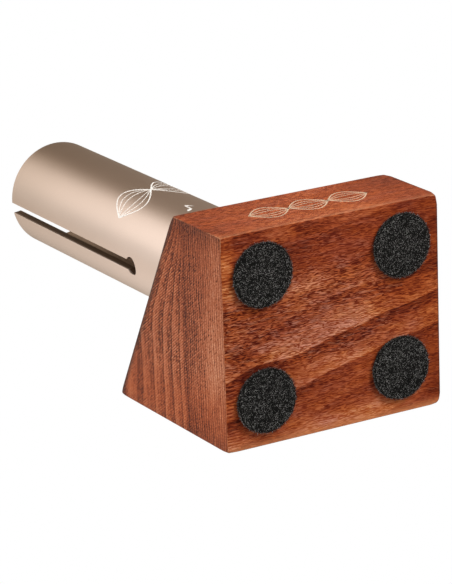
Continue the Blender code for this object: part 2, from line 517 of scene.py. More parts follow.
wood = {
    "flatLayer": 30.0,            # growth layers lie flat below this height and arch above it, mm
    "layerGrowth": (7.05, 39.8),  # above it a logarithm counts the layers, so that they widen upwards
    "layerBelow": 5.65,
    "layerPhase": -0.06,
    "layerWobble": 3.6,
    "layerFade": (0.04, 0.85, 0.0, 1.0, "LINEAR"),
    "bandStep": 15.0,             # bands on the faces along the grain: step, lean and warp, mm
    "bandLean": (0.21, 3.2),
    "bandWarp": 14.0,
    "bandPhase": 0.21,
    "mainBand": 1.3,
    "dashes": (0.20, 1.7, 1.7),   # short pores for each mm along and across the grain, fewer where pale
    "dashFade": -0.35,
    "ripple": 1.5,                # torn grain: step in mm, and how far the warp turns it
    "rippleTurn": 40.0,
    "middleTone": 0.46,
    "frontSwing": 0.55,           # the front has less of the bands and more of the flecks
    "frontFlecks": 0.3,
    "livelyRow": -6.0,            # flecks are strongest in this row
    "beltRow": 8.0,               # the end grain's belt is palest in this row
    "poreRows": (1.0, 1.8),       # pores of the end grain stand this far apart aslant and across the layers
    "poreSlant": (0.81, -0.57),
    "poreDrift": 1.2,
    "poreJitter": 0.5,
    "lineTurn": -0.25,
    "linesArched": 0.75,
    "paleFoot": ((-53.0, 6.0, 11.0), (200.0, 32.0, 18.0)),
    "sways": [(0.045, 3.0), (0.38, 0.5)],     # the grain's sway: waves for each mm, reach in mm
    "clouds": {                   # plain noise: waves for each mm along x, y and z, detail, shift
        "wobble": ((0.010, 0.030, 0.030), 1.0),
        "warp": ((0.015, 0.036, 0.036), 1.5, (1.7, 0.4, 0.0)),
        "drift": ((0.1, 0.12, 0.4), 2.0),
        "patch": ((0.06, 0.09, 0.09), 3.0),
    },
    "mottles": {                  # spread noise: what it follows, waves for each mm, contrast, detail
        "fleck": ("grain", (0.30, 4.2, 4.2), 9.0, 0.0),
        "cloud": ("grain", (0.016, 0.045, 0.045), 2.2, 2.0),
        "streaks": ("grain", (0.035, 0.95, 0.95), 2.4),
        "blush": ("grain", (0.07, 0.20, 0.20), 2.4),
        # scatter of the painted glints
        "glintScatter": ("grain", (0.13, 0.8, 0.8), 3.0),
        "patchy": ("raw", (0.1, 0.06, 0.11), 2.0),
        "snapped": ("raw", (0.1, 0.9, 0.9), 3.0),
        "broken": ("raw", (0.1, 0.22, 0.8), 3.0),
        "pepper": ("raw", (1.3, 1.3, 1.3), 3.4),
    },
    "ramps": {                    # smooth steps: of which value, its start and end, and the values there
        "endFace": ("endways", 0.5, 0.9),
        "frontFace": ("frontways", 0.6, 0.9),
        "underFace": ("upways", -0.6, -0.9),
        "livelyAcross": ("fromLively", 14.0, 26.0, 1.2, 0.74),
        "livelyAlong": ("x", 8.0, 40.0, 1.0, 0.72),
        "layerLift": ("y", -52.0, 8.0, 0.16, 1.0),
        "layerDroop": ("y", 14.0, 52.0, 1.0, 1.03),
        "bandFade": ("ring", 0.06, 0.60),
        "bandStart": ("ring", 0.03, 0.0),
        "bandGlint": ("ring", 0.80, 0.96),
        "cloudyGlint": ("cloud", 0.25, 0.75, 0.5, 1.0),
        "nearMainBand": ("fromMainBand", 0.4, 1.2, 1.0, 0.34),
        "calmFront": ("frontFace", 0.0, 1.0, 1.0, 0.55),
        "dashKept": ("dashChance", 0.15, 0.35),
        "dashInside": ("dashGap", 0.46, 0.20),
        "paleBack": ("y", 33.0, 45.0),
        "cloudyBack": ("cloud", 0.3, 0.7, 0.5, 1.0),
        "frontRight": ("x", 14.0, 50.0, 0.0, 0.15),
        "frontLeft": ("x", -36.0, -50.0, 0.0, 0.10),
        "frontFoot": ("z", 16.0, 3.0, 0.0, 0.13),
        "tornEnd": ("x", -44.0, -51.0),
        "arched": ("z", 24.0, 36.0),
        "brownAbove": ("z", 9.0, 25.0),
        "brownBelow": ("z", 37.0, 29.0),
        "poreKept": ("poreChance", 0.35, 0.75),
        "poreInside": ("poreGap", 0.48, 0.20),
        "calmPores": ("calm", 0.4, 1.0, 0.55, 1.0),
        "hatchLine": ("hatchWave", -0.9, 0.2, -1.25, 0.55),
        "hatchAbove": ("z", 12.0, 30.0, 0.15, 1.0),
        "hatchBehind": ("y", -38.0, -18.0, 0.35, 1.0),
        "hatchSnapped": ("snapped", 0.1, 0.9, 0.4, 1.5),
        "calmBack": ("y", 12.0, 34.0, 1.0, 0.4),
        "patchyDark": ("patchy", 0.1, 0.6, 0.35, 1.0),
        "beltEnds": ("fromBelt", 12.0, 26.0, 0.0, 0.11),
        "beltAbove": ("z", 6.0, 13.0),
        "beltBelow": ("z", 23.0, 15.0),
        "darkFront": ("y", -28.0, -46.0, 0.0, 0.13),
        "dimFront": ("y", 16.0, -12.0, 0.0, 0.06),
        "dimTop": ("z", 58.0, 76.0, 0.0, 0.09),
        "backFoot": ("y", 10.0, 32.0, 0.0, 0.12),
        "footBelow": ("z", 14.0, 6.0),
        "darkBack": ("y", 28.0, 46.0, 0.0, 0.10),
        "redBack": ("y", 14.0, 42.0),
        "greyBelow": ("z", 36.0, 24.0),
        "greyBefore": ("y", 30.0, 14.0),
        # painted highlight: the brightest flecks turn into pale glints
        "paintedGlint": ("fleck", 0.6, 1.0, 0.0, 0.34),
        "paintedGlintKept": ("paintedGlintChance", 0.35, 0.85),
        "livelyPaintedGlint": ("lively", 0.74, 1.2, 0.4, 1.1),
        "cloudyDarkRim": ("cloud", 0.2, 0.8, 0.85, 1.0),
        "cloudyLip": ("cloud", 0.2, 0.8, 0.25, 0.42),
        "backLip": ("y", 0.0, 10.0, 0.0, 2.0),
    },
    "longShares": {               # shares of the tone of the faces along the grain, and of the end grain
        "base": 0.15, "bands": 0.32, "glints": 0.15, "cloud": 0.20, "streaks": 0.17, "flecks": 0.45,
        "paleBack": 0.29, "dash": -0.09, "torn": 0.12},
    "endShares": {
        "base": 0.62, "dark": -0.24, "brown": -0.18, "lines": -0.26, "hatch": 0.46, "pepper": 0.28,
        "patchy": -0.08, "foot": 0.06, "pores": -0.44, "shade": -1.0},
    "poreShares": {"base": -0.05, "chance": 0.5, "dark": 0.55, "patchy": 0.3, "brown": 0.16},
    "hatchShares": {"base": 0.28, "patchy": 0.35, "dark": 0.4},
    # patches of the underside: middle and reach along and across the grain in mm, lighter, warmer
    "patches": [
        ((-10.0, -43.0), (12.0, 6.0), -0.09, 0.0), ((-26.0, -43.0), (12.0, 6.0), 0.14, 0.0),
        ((2.0, -30.0), (24.0, 9.0), 0.02, -0.4), ((-14.0, -20.0), (22.0, 7.0), 0.26, -0.1),
        ((-51.5, -31.0), (8.0, 20.0), 0.25, 0.9), ((4.0, -10.5), (20.0, 5.0), -0.04, -0.2),
        ((-32.0, -10.0), (14.0, 6.0), -0.10, 0.0), ((-16.0, 0.0), (34.0, 9.0), 0.0, -0.6),
        ((-48.0, 0.0), (12.0, 7.0), 0.11, 0.0), ((12.0, 0.0), (14.0, 6.0), 0.07, 0.0),
        ((-42.0, 10.5), (18.0, 8.0), -0.36, 0.0), ((16.0, 10.5), (28.0, 6.0), -0.14, -0.2),
        ((-51.0, 25.0), (14.0, 16.0), -0.11, 0.2), ((53.0, -5.0), (16.0, 60.0), -0.07, 0.6),
        ((38.0, -6.0), (22.0, 12.0), -0.18, 0.4), ((14.0, 21.0), (12.0, 9.0), 0.06, 0.2),
        ((50.0, 27.0), (14.0, 12.0), 0.07, 0.1), ((-12.0, 42.0), (12.0, 6.0), 0.07, 0.0),
        ((22.0, 42.0), (22.0, 8.0), 0.18, 0.2), ((51.0, 43.0), (12.0, 14.0), -0.12, 0.2)],
    "patchDepth": 4.0,
    "patchSway": (18.0, 9.0, 0.0),
    "longColours": [
        (0.00, (0.058, 0.007, 0.003)), (0.20, (0.125, 0.016, 0.005)), (0.40, (0.238, 0.043, 0.013)),
        (0.60, (0.375, 0.083, 0.024)), (0.80, (0.520, 0.165, 0.060)), (1.00, (0.680, 0.330, 0.180))],
    "endColours": [
        (0.00, (0.040, 0.008, 0.004)), (0.20, (0.104, 0.022, 0.009)), (0.40, (0.205, 0.047, 0.018)),
        (0.60, (0.335, 0.086, 0.034)), (0.80, (0.475, 0.155, 0.070)), (1.00, (0.600, 0.270, 0.145))],
    "tints": {
        "cool": (0.98, 0.91, 1.14), "warm": (1.04, 0.92, 0.68),
        "red": (1.0, 0.90, 0.78), "grey": (1.0, 1.07, 1.14)},
    # painted highlight: colours of the pale glints where the grain is cooler and where it is warmer, and
    # fewer glints where warmer
    "coolGlintColour": (0.46, 0.26, 0.20),
    "warmGlintColour": (0.58, 0.29, 0.15),
    "warmGlintShift": -0.3,
    # colour of the darker end rims, and of the painted shade along the right-hand edge
    "soil": (0.045, 0.024, 0.018),
    "lip": (0.68, 0.27, 0.11),
    "bare": (0.62, 0.33, 0.17),
    "rightShadeOn": 0.7,                # painted shade along the right-hand edge, off its end face
    "frontLip": 0.6,
    "frontBare": 0.04,
    "cornerWear": (0.8, 0.35),    # wear of the edges, and how much more at a corner
    "rubbed": (0.30, 0.72),
    "rubbedShare": 0.6,
    "roughness": (0.1, 0.9, 0.58, 0.44, "LINEAR"),
    "specular": 0.08,
    "poreDepth": -0.8,
    "bump": (0.5, 0.00006),
}


def ramped(given, *names):
    # product of the wood's named smooth steps, each of one of the given values
    steps = [wood["ramps"][name] for name in names]
    return functools.reduce(operator.mul, [given[value].ramp(*span) for value, *span in steps])


def weighed(shares, parts):
    # the base share, plus each part times its own share
    total = shares["base"]
    for name, value in parts.items():
        total = value.onto(total, shares[name])
    return total


def cloudOf(raw, name, out="Fac"):
    # plain noise by its name in the wood's table
    stretch, detail, *shift = wood["clouds"][name]
    return raw.stretched(stretch, *shift).noise(detail, out=out)


def swayedGrain(raw):
    # the grain sways by a millimetre or two along the length of the wood, and quivers by tenths of one
    grain = raw
    for pace, reach in wood["sways"]:
        sway = raw.stretched((pace, pace, pace)).noise(detail=1.0, out="Color")
        grain = grain.swayed(sway, (0.0, reach, reach))
    return grain


def growthLayers(given):
    # number of growth layers below a point of the end grain: its height above the flat layers, drawn down
    # towards the front, counted by a logarithm, plus the flat layers and a slow wobble
    above = given["z"] - wood["flatLayer"]
    fan = above.larger(0.0) / ramped(given, "layerLift", "layerDroop")
    flat = (cloudOf(given["raw"], "wobble") - 0.5).onto(above.smaller(0.0), wood["layerWobble"])
    count, soft = wood["layerGrowth"]
    upper = (fan / soft + 1.0).maths("LOGARITHM", math.e)
    return upper * count + flat / wood["layerBelow"] + wood["layerPhase"]


def longGrain(given):
    # tone of the faces along the grain: leaning bands that start dark and end in a bright streak, warped by
    # a slow noise, with streaks, flecks and dashes of pores over them
    skew, rise = wood["bandLean"]
    warp = cloudOf(given["raw"], "warp")
    across = given["y"] + given["x"] * skew + given["z"] * rise + warp * wood["bandWarp"]
    turns = across / wood["bandStep"] + wood["bandPhase"]
    given["ring"] = turns.maths("FRACT")
    given["fromMainBand"] = abs(turns - wood["mainBand"])
    fade = ramped(given, "bandFade").larger(ramped(given, "bandStart"))
    strength = ramped(given, "nearMainBand", "calmFront")
    cells = {"Vector": given["grain"].stretched(wood["dashes"]), "Scale": 1.0}
    given["dashGap"] = addNode(warp.tree, "ShaderNodeTexVoronoi", cells)
    given["dashChance"] = fade.onto(given["dashGap"].also("Color").split()[0], wood["dashFade"])
    dash = ramped(given, "dashInside", "dashKept")
    # fine ripples across the torn grain along the left-hand end
    torn = warp * wood["rippleTurn"] + given["y"] * (math.tau / wood["ripple"])
    tone = weighed(wood["longShares"], {
        "bands": fade * strength,
        "glints": ramped(given, "bandGlint", "cloudyGlint") * strength,
        "cloud": given["cloud"],
        "streaks": given["streaks"],
        "flecks": given["flecked"],
        "paleBack": ramped(given, "paleBack", "cloudyBack") * (1.0 - given["frontFace"]),
        "dash": dash,
        "torn": torn.maths("SINE") * ramped(given, "tornEnd"),
    })
    # the front is calmer, paler at its foot and darker at its ends
    ends = ramped(given, "frontRight") + ramped(given, "frontLeft")
    calm = ramped(given, "frontFoot") - ends + wood["middleTone"]
    calm = (tone - wood["middleTone"]).onto(calm, wood["frontSwing"])
    calm = given["flecked"].onto(calm, wood["frontFlecks"])
    return given["frontFace"].level(tone, calm), dash


def endGrain(given):
    # tone of the end grain: rows of dark pores along the layers and aslant across them, thickest in the
    # dark start of each layer, over a hatch of the same slant
    turns = growthLayers(given)
    aslant, across = wood["poreRows"]
    back, down = wood["poreSlant"]
    arched = ramped(given, "arched")
    dark = (1.0 - turns.maths("FRACT").ramp(*wood["layerFade"])) * arched
    slant = given["y"] * back + given["z"] * down
    row = turns * (wood["layerBelow"] / across) + cloudOf(given["raw"], "drift") * wood["poreDrift"]
    place = addNode(row.tree, "ShaderNodeCombineXYZ", {0: slant / aslant, 1: row})
    lattice = {"Vector": place, "Scale": 1.0, "Randomness": wood["poreJitter"]}
    given["poreGap"] = addNode(row.tree, "ShaderNodeTexVoronoi", lattice, voronoi_dimensions="2D")
    brown = ramped(given, "brownAbove", "brownBelow")
    chance = given["poreGap"].also("Color").split()[0]
    given["poreChance"] = weighed(wood["poreShares"], {
        "chance": chance, "dark": dark, "patchy": given["patchy"], "brown": brown})
    given["calm"] = ramped(given, "calmBack")
    pores = ramped(given, "poreInside", "poreKept", "calmPores")
    given["hatchWave"] = (slant * (math.tau / aslant)).maths("SINE")
    hatch = ramped(given, "hatchLine", "hatchAbove", "hatchBehind", "hatchSnapped") * given["calm"]
    hatch = hatch * weighed(wood["hatchShares"], {"patchy": given["patchy"], "dark": dark})
    lines = (row * math.tau + wood["lineTurn"] * math.tau).maths("COSINE") * given["broken"]
    # darker towards the front, near the top, and below the arches towards the back
    shade = ramped(given, "beltEnds", "beltAbove", "beltBelow") + ramped(given, "backFoot", "footBelow")
    shade = shade + ramped(given, "darkBack", "brownBelow")
    for name in ("darkFront", "dimFront", "dimTop"):
        shade = shade + ramped(given, name)
    tone = weighed(wood["endShares"], {
        "dark": dark * ramped(given, "patchyDark"),
        "brown": brown,
        "lines": lines * (1.0 - arched * wood["linesArched"]),
        "hatch": hatch,
        "pepper": given["pepper"],
        "patchy": given["patchy"],
        "foot": given["raw"].spot(*wood["paleFoot"]),
        "pores": pores,
        "shade": shade,
    })
    return tone, pores


def underPatches(raw):
    # sums of soft spots with swaying outlines: how much lighter and warmer each makes the underside
    swayed = raw.swayed(cloudOf(raw, "patch", "Color"), wood["patchSway"])
    lighter, warmer = 0.0, 0.0
    for middle, reach, light, warm in wood["patches"]:
        spot = swayed.spot((*middle, 0.0), (*reach, wood["patchDepth"]))
        lighter = spot.onto(lighter, light)
        warmer = spot.onto(warmer, warm)
    return lighter, warmer


def longColour(given, tone):
    # some of the long grain is a cooler red, some a warmer orange, with painted glints of the oiled surface
    # over its brightest flecks, fewer where it is warmer
    lighter, warmer = underPatches(given["raw"])
    colour = lighter.onto(tone, given["underFace"]).coloured(wood["longColours"])
    blush = warmer.maths("MULTIPLY_ADD", given["underFace"], given["blush"], use_clamp=True)
    colour = blush.between(colour.tinted(wood["tints"]["cool"]), colour.tinted(wood["tints"]["warm"]))
    given["paintedGlintChance"] = blush.onto(given["glintScatter"], wood["warmGlintShift"])
    # painted highlight: pale glints over the brightest flecks
    paintedGlint = ramped(given, "paintedGlint", "paintedGlintKept", "livelyPaintedGlint")
    return paintedGlint.between(colour, blush.between(wood["coolGlintColour"], wood["warmGlintColour"]))


def endColour(given, tone):
    # the end grain is redder towards the back, and greyer low down before that
    colour = tone.coloured(wood["endColours"])
    colour = ramped(given, "redBack").between(colour, colour.tinted(wood["tints"]["red"]))
    return ramped(given, "greyBelow", "greyBefore").between(colour, colour.tinted(wood["tints"]["grey"]))


def wornAndShadedColour(given, colour):
    # ends darker along their rims, painted shade along the right-hand edge, pale long edges underneath, and
    # edges that are rubbed bare here and there
    endFace, frontFace = given["endFace"], given["frontFace"]
    soil, lip, edge, corner, dusk = (
        attribute(colour.tree, name) for name in ("soil", "lip", "edge", "corner", "dusk"))
    # the ends darker along their rims, and painted shade along the right-hand edge off its end face
    darkened = (soil * endFace * ramped(given, "cloudyDarkRim")).larger(dusk * (wood["rightShadeOn"] - endFace))
    colour = darkened.between(colour, wood["soil"])
    lipFace = frontFace * wood["frontLip"] + given["underFace"] * ramped(given, "backLip")
    paled = lip * lipFace * ramped(given, "cloudyLip")
    colour = paled.between(colour, frontFace.between(wood["lip"], wood["bare"]))
    colour = (frontFace * wood["frontBare"]).between(colour, wood["bare"])
    least, more = wood["cornerWear"]
    rubbed = given["raw"].rubbed(edge * (corner * more + least), *wood["rubbed"])
    return (rubbed * wood["rubbedShare"]).between(colour, wood["bare"])


def makeWood():
    material, shader, raw = newMaterial("oiledHardwood", shift=(0, 0, -toMillimetres[2] * block["base"]))
    given = {"raw": raw, "grain": swayedGrain(raw)}
    given["x"], given["y"], given["z"] = raw.split()
    endways, frontways, given["upways"] = facing(raw.tree)
    given["endways"] = abs(endways)
    given["frontways"] = abs(frontways)
    given["fromLively"] = abs(given["y"] - wood["livelyRow"])
    given["fromBelt"] = abs(given["y"] - wood["beltRow"])
    for name in ("endFace", "frontFace", "underFace"):
        given[name] = ramped(given, name)
    for name, (follows, *settings) in wood["mottles"].items():
        given[name] = given[follows].mottled(*settings)
    given["lively"] = ramped(given, "livelyAcross", "livelyAlong")
    given["flecked"] = (given["fleck"] - 0.5) * given["lively"]
    longTone, dash = longGrain(given)
    endTone, pores = endGrain(given)
    colour = given["endFace"].between(longColour(given, longTone), endColour(given, endTone))
    height = given["endFace"].level(dash, pores).onto(given["fleck"], wood["poreDepth"])
    setInputs(shader, {
        "Base Color": wornAndShadedColour(given, colour),
        "Roughness": given["fleck"].ramp(*wood["roughness"]),
        "Specular IOR Level": wood["specular"],
        "Normal": height.bumped(*wood["bump"]),
    })
    return material


woodPiece = makePiece("hardwood_block", blockPatches(), makeWood(), sharpAngle=50)
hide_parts("base_block")


# Slotted tube

tube = {
    "radius": 0.025,
    "wall": 0.004,
    "turn": math.radians(-7.5),
    "slotWidth": 0.005,
    "slotLength": 0.1173,
    "reliefRadius": 0.00425,
    "edgeRadius": 0.0003,
    "edgeSteps": 4,
    "wallRings": (0.3, 0.7),
    "columns": 72,
    "columnEdge": (0.012, 3),     # columns and rows near an edge: their reach and count
    "holeRows": 18,
    "slotStep": 0.005,
    "slotEnds": (0.0009, 3),
    "footRows": 14,
    "footEdge": (0.002, 2),
    "cloud": ((0.06, 0.06, 0.03), 1.0, 2.0),     # noise: waves for each mm, contrast, detail
    "blast": ((2.6, 2.6, 2.6), 1.5, 2.0),
    "speck": (0.94, 1.04),
    "metal": [(0.70, 0.540, 0.453), (0.76, 0.586, 0.491)],
    "paintedFalloff": (110.0, 250.0),    # painted light near the foot turns to painted shade towards the mouth between these heights, mm
    "paintedFootLight": (1.10, 1.12, 1.135),
    "paintedMouthShade": (0.81, 0.785, 0.735),
    "rubbed": (0.8, 0.5),
    "rubbedShare": 0.7,
    "bare": (0.86, 0.80, 0.74),
    # painted shade: the saw cuts and the bore are darker and duller than the outside, but the rim of the
    # mouth isn't
    "innerShadeSpan": (0.02, 0.3, 0.0, 0.97),
    "rimShadeSpan": (0.4, 0.9, 1.0, 0.2),
    "boreFrom": (0.8, 1.0),
    "sawnShade": (0.085, 0.044, 0.020),
    "bore": (0.36, 0.24, 0.155),
    "roughness": (0.33, 0.43),
    "metallic": (0.0, 1.0, 1.0, 0.3),
    "specular": 0.1,
    "bump": (0.25, 0.00004),
}
tubeLow, tubeHigh = np.array(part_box("tube"))
tube["relief"] = tubeHigh[2] - tube["slotLength"]


def slotEdge(inset):
    # half of the keyhole, as distance from the cut's middle and height: round the relief hole from its
    # lowest point, then up the saw cut to the mouth; the inset moves the edge into the metal
    hole = tube["reliefRadius"] + inset
    half = tube["slotWidth"] / 2 + inset
    last = math.pi - math.asin(half / hole)
    t = last * np.linspace(0, 1, tube["holeRows"])
    start = tube["relief"] - hole * math.cos(last)
    up = spaced(start, tubeHigh[2] - inset, tube["slotStep"], *tube["slotEnds"])[1:]
    reach = np.concatenate([hole * np.sin(t), up * 0 + half])
    return reach, np.concatenate([tube["relief"] - hole * np.cos(t), up])


def columnShares():
    # shares of the way from cut to cut, closer together near both
    return spaced(0, 1, 1 / tube["columns"], *tube["columnEdge"])


def roundTube(radius, angle, z):
    # a point of a cylinder about Z, at an angle that is counted from the middle of the left-hand cut
    turned = math.pi + tube["turn"] + angle
    return np.stack(np.broadcast_arrays(radius * np.cos(turned), radius * np.sin(turned), z), -1)


def wallLayers():
    # depth and inset through the wall: quarter round outside, straight, quarter round inside
    edge = tube["edgeRadius"]
    b = np.linspace(0, math.pi / 2, tube["edgeSteps"] + 1)
    depth, inset = edge * (1 - np.cos(b)), edge * (1 - np.sin(b))
    straight = tube["wall"] * np.array(tube["wallRings"])
    depth = np.concatenate([depth, straight, tube["wall"] - depth[::-1]])
    return depth, np.concatenate([inset, straight * 0, inset[::-1]])


def cutEdge(depth, inset):
    # radius at a depth in the wall, and the keyhole's edge there as angles from its middle and heights
    radius = tube["radius"] - depth
    reach, z = slotEdge(inset)
    return radius, np.arcsin(reach / radius), z


def prongSheet(half, depth, inset):
    # one half of the wall's outer or inner skin: rows go up the tube, columns from cut to cut
    radius, start, z = cutEdge(depth, inset)
    foot = spaced(tubeLow[2], z[0], (z[0] - tubeLow[2]) / tube["footRows"], *tube["footEdge"])[:-1]
    start = np.concatenate([foot * 0, start])[:, None]
    z = np.concatenate([foot, z])[:, None]
    return roundTube(radius, half * math.pi + start + columnShares()[None, :] * (math.pi - 2 * start), z)


def prongEdge(half):
    # the sawn edge of one half, carried up one cut, along the mouth and down the other cut
    rows = []
    for depth, inset in zip(*wallLayers()):
        radius, start, z = cutEdge(depth, inset)
        mouth = (start[-1] + columnShares() * (math.pi - 2 * start[-1]))[1:-1]
        angle = np.concatenate([start, mouth, (math.pi - start)[::-1]])
        height = np.concatenate([z, mouth * 0 + z[-1], z[::-1]])
        rows.append(roundTube(radius, half * math.pi + angle, height))
    return np.stack(rows)


def tubePatches():
    # each half has an outer and an inner skin, the sawn edge between them and a flat foot
    depth, inset = wallLayers()
    worn = 1 - np.abs(2 * inset[:, None] / tube["edgeRadius"] - 1)
    inner = depth[:, None] / tube["wall"]
    patches = []
    for half in (0, 1):
        angle = (half + columnShares()) * math.pi
        foot = np.stack([roundTube(tube["radius"] - d, angle, tubeLow[2]) for d in (0, tube["wall"])])
        patches += [
            (prongSheet(half, 0.0, inset[0]), False, {}),
            (prongSheet(half, tube["wall"], inset[-1]), False, {"inner": 1.0}),
            (prongEdge(half), False, {"worn": worn, "inner": inner}),
            (foot, False, {})]
    return patches


def makeMetal():
    material, shader, raw = newMaterial("champagneAnodised")
    blast = raw.mottled(*tube["blast"])
    colour = raw.mottled(*tube["cloud"]).between(*tube["metal"]).tinted(blast.line(*tube["speck"]))
    # painted light near the foot of the tube, fading to painted shade towards the mouth
    height = raw.split()[2].ramp(*tube["paintedFalloff"], kind="LINEAR")
    colour = colour.tinted(height.between(tube["paintedFootLight"], tube["paintedMouthShade"]))
    rubbed = raw.rubbed(attribute(raw.tree, "worn"), *tube["rubbed"])
    colour = (rubbed * tube["rubbedShare"]).between(colour, tube["bare"])
    inner = attribute(raw.tree, "inner")
    # painted shade on the saw cuts and the bore, which are also less metallic, but not on the rim of the
    # mouth
    shadedInside = inner.ramp(*tube["innerShadeSpan"]) * facing(raw.tree)[2].ramp(*tube["rimShadeSpan"])
    insideShade = inner.ramp(*tube["boreFrom"]).between(tube["sawnShade"], tube["bore"])
    setInputs(shader, {
        "Base Color": shadedInside.between(colour, insideShade),
        "Roughness": blast.line(*tube["roughness"]),
        "Metallic": shadedInside.ramp(*tube["metallic"]),
        "Specular IOR Level": tube["specular"],
        "Normal": blast.bumped(*tube["bump"]),
    })
    return material


tubePiece = makePiece("satin_tube", tubePatches(), makeMetal(), sharpAngle=60)
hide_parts("tube")


# Printed marks: the loops of a sounding string on the tube and on the block, and a note on the tube

marks = {
    "tube": {"angle": math.radians(262.5), "height": 0.1505, "width": 0.041, "tall": 0.022, "loops": 2},
    "note": {"angle": math.radians(261.0), "height": 0.1150, "tall": 0.0070},
    "block": {"x": 0.0015, "height": 0.0222, "width": 0.058, "tall": 0.0150, "loops": 3},
    "lines": [(1.0, 0.00064), (0.62, 0.00042), (0.28, 0.00042)],   # swing and width of a string's lines
    "section": [(-1.0, 0.0), (-0.8, 1.0), (0.8, 1.0), (1.0, 0.0), (0.8, -1.0), (-0.8, -1.0)],
    "lift": 0.00004,
    "steps": 120,
    "noteSteps": 24,              # the note's sizes are shares of its height
    "head": {"middle": (-0.17, -0.38), "length": 0.40, "tilt": 0.4, "width": 0.27, "least": 0.01},
    "stem": {"low": -0.38, "length": 0.88, "width": 0.075},
    "flag": {"across": (0.02, 0.34), "bend": 1.5, "down": (0.47, -0.12, -0.38), "width": (0.15, -0.11)},
    # ink that lets a little of what is under it show in specks: the ink's colour, and what shows through
    "ink": {"mottle": ((0.9, 2.4, 2.4), 2.4), "step": (0.55, 1.0, 0.0, 0.6), "roughness": (0.42, 0.62)},
    "tubeInk": [(0.84, 0.80, 0.74), (0.60, 0.50, 0.42)],
    "blockInk": [(0.56, 0.40, 0.27), (0.36, 0.14, 0.06)],
}


def ribbonPatch(path, width, place):
    # a thin raised line: each point of the flat path goes out along the path's normal to half its width on
    # both sides, place puts flat points and their lifts on a surface, and the ends close to a point
    ahead = np.gradient(path, axis=0)
    ahead /= np.linalg.norm(ahead, axis=1)[:, None]
    normal = np.stack([-ahead[:, 1], ahead[:, 0]], -1)
    across, lift = np.array(marks["section"]).T
    half = np.concatenate([[0.0], width, [0.0]]) / 2
    path = np.concatenate([path[:1], path, path[-1:]])
    normal = np.concatenate([normal[:1], normal, normal[-1:]])
    flat = path[:, None, :] + (half[:, None] * across)[..., None] * normal[:, None, :]
    thick = np.minimum(half[:, None], marks["lift"]) * lift
    return place(flat[..., 0], flat[..., 1], thick), True, {}


def loopRibbons(mark, place):
    # a sounding string: sines with one half wave for each loop, at three swings, and their mirror images
    s = np.linspace(0, 1, marks["steps"])
    wave = np.sin(mark["loops"] * math.pi * s) * mark["tall"] / 2
    ribbons = []
    for share, width in marks["lines"]:
        for side in (1, -1):
            path = np.stack([(s - 0.5) * mark["width"], side * share * wave], -1)
            ribbons.append(ribbonPatch(path, s * 0 + width, place))
    return ribbons


def noteRibbons(tall, place):
    # head: an ellipse as wide as its chord; stem: an even line; flag: a curve that thins to a point
    head, stem, flag = marks["head"], marks["stem"], marks["flag"]
    s = np.linspace(0, 1, marks["noteSteps"])
    chord = np.sqrt(np.maximum(1 - (2 * s - 1) ** 2, head["least"]))
    (start, wide), (top, fall, curl), (thick, thinning) = flag["across"], flag["down"], flag["width"]
    curve = np.stack([start + wide * s ** flag["bend"], top + fall * s + curl * s ** 2], -1)
    ribbons = [
        (polar((s - 0.5) * head["length"], head["tilt"]) + head["middle"], head["width"] * chord),
        (np.stack([s * 0, stem["low"] + stem["length"] * s], -1), stem["width"] + s * 0),
        (curve, thick + thinning * s)]
    return [ribbonPatch(path * tall, width * tall, place) for path, width in ribbons]


def onTube(mark):
    # wraps flat points round the tube about the mark's angle and height
    def place(a, b, lift):
        flat = polar(tube["radius"] + lift, mark["angle"] + a / tube["radius"])
        return np.concatenate([flat, mark["height"] + b[..., None]], -1)
    return place


def onFront(mark):
    # lays flat points on the front of the block about the mark's place
    def place(a, b, lift):
        return np.stack([mark["x"] + a, blockLow[1] - lift, mark["height"] + b], -1)
    return place


printed = loopRibbons(marks["tube"], onTube(marks["tube"]))
printed += noteRibbons(marks["note"]["tall"], onTube(marks["note"]))
inked = makeSpeckled("whiteInk", {**marks["ink"], "colours": marks["tubeInk"]})
makePiece("tube_print", printed, inked)
printed = loopRibbons(marks["block"], onFront(marks["block"]))
inked = makeSpeckled("paleGoldInk", {**marks["ink"], "colours": marks["blockInk"]})
makePiece("block_print", printed, inked)


# Glue line round the foot of the tube

glue = {
    "gap": 0.00004,
    "belowMouth": 0.0004,
    "columns": 144,
    "dish": 0.00025,
    "mottle": ((0.5, 0.5, 0.5), 1.6, 2.0),
    "step": (0.0, 1.0, 0.0, 1.0, "LINEAR"),
    "colours": [(0.045, 0.018, 0.009), (0.12, 0.055, 0.026)],
    "roughness": (0.35, 0.55),
}


def gluePatches():
    # ring between tube and socket whose top follows the slope of the wood, dished in its middle
    angle = math.tau * np.arange(glue["columns"]) / glue["columns"]
    inner, outer = tube["radius"] + glue["gap"], block["socketRadius"] - glue["gap"]
    low = angle * 0 + tubeLow[2]
    rings = []
    for radius, drop in ((outer, 0.0), ((inner + outer) / 2, glue["dish"]), (inner, 0.0)):
        rings.append((radius, slopeHeight(radius * np.sin(angle)) - glue["belowMouth"] - drop))
    rings += [(inner, low), (outer, low), rings[0]]
    grid = [np.concatenate([polar(radius, angle), z[:, None]], -1) for radius, z in rings]
    return [(np.stack(grid), True, {})]


gluePiece = makePiece("glue_line", gluePatches(), makeSpeckled("curedGlue", glue))
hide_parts("tube_glue_sleeve")


# Felt feet

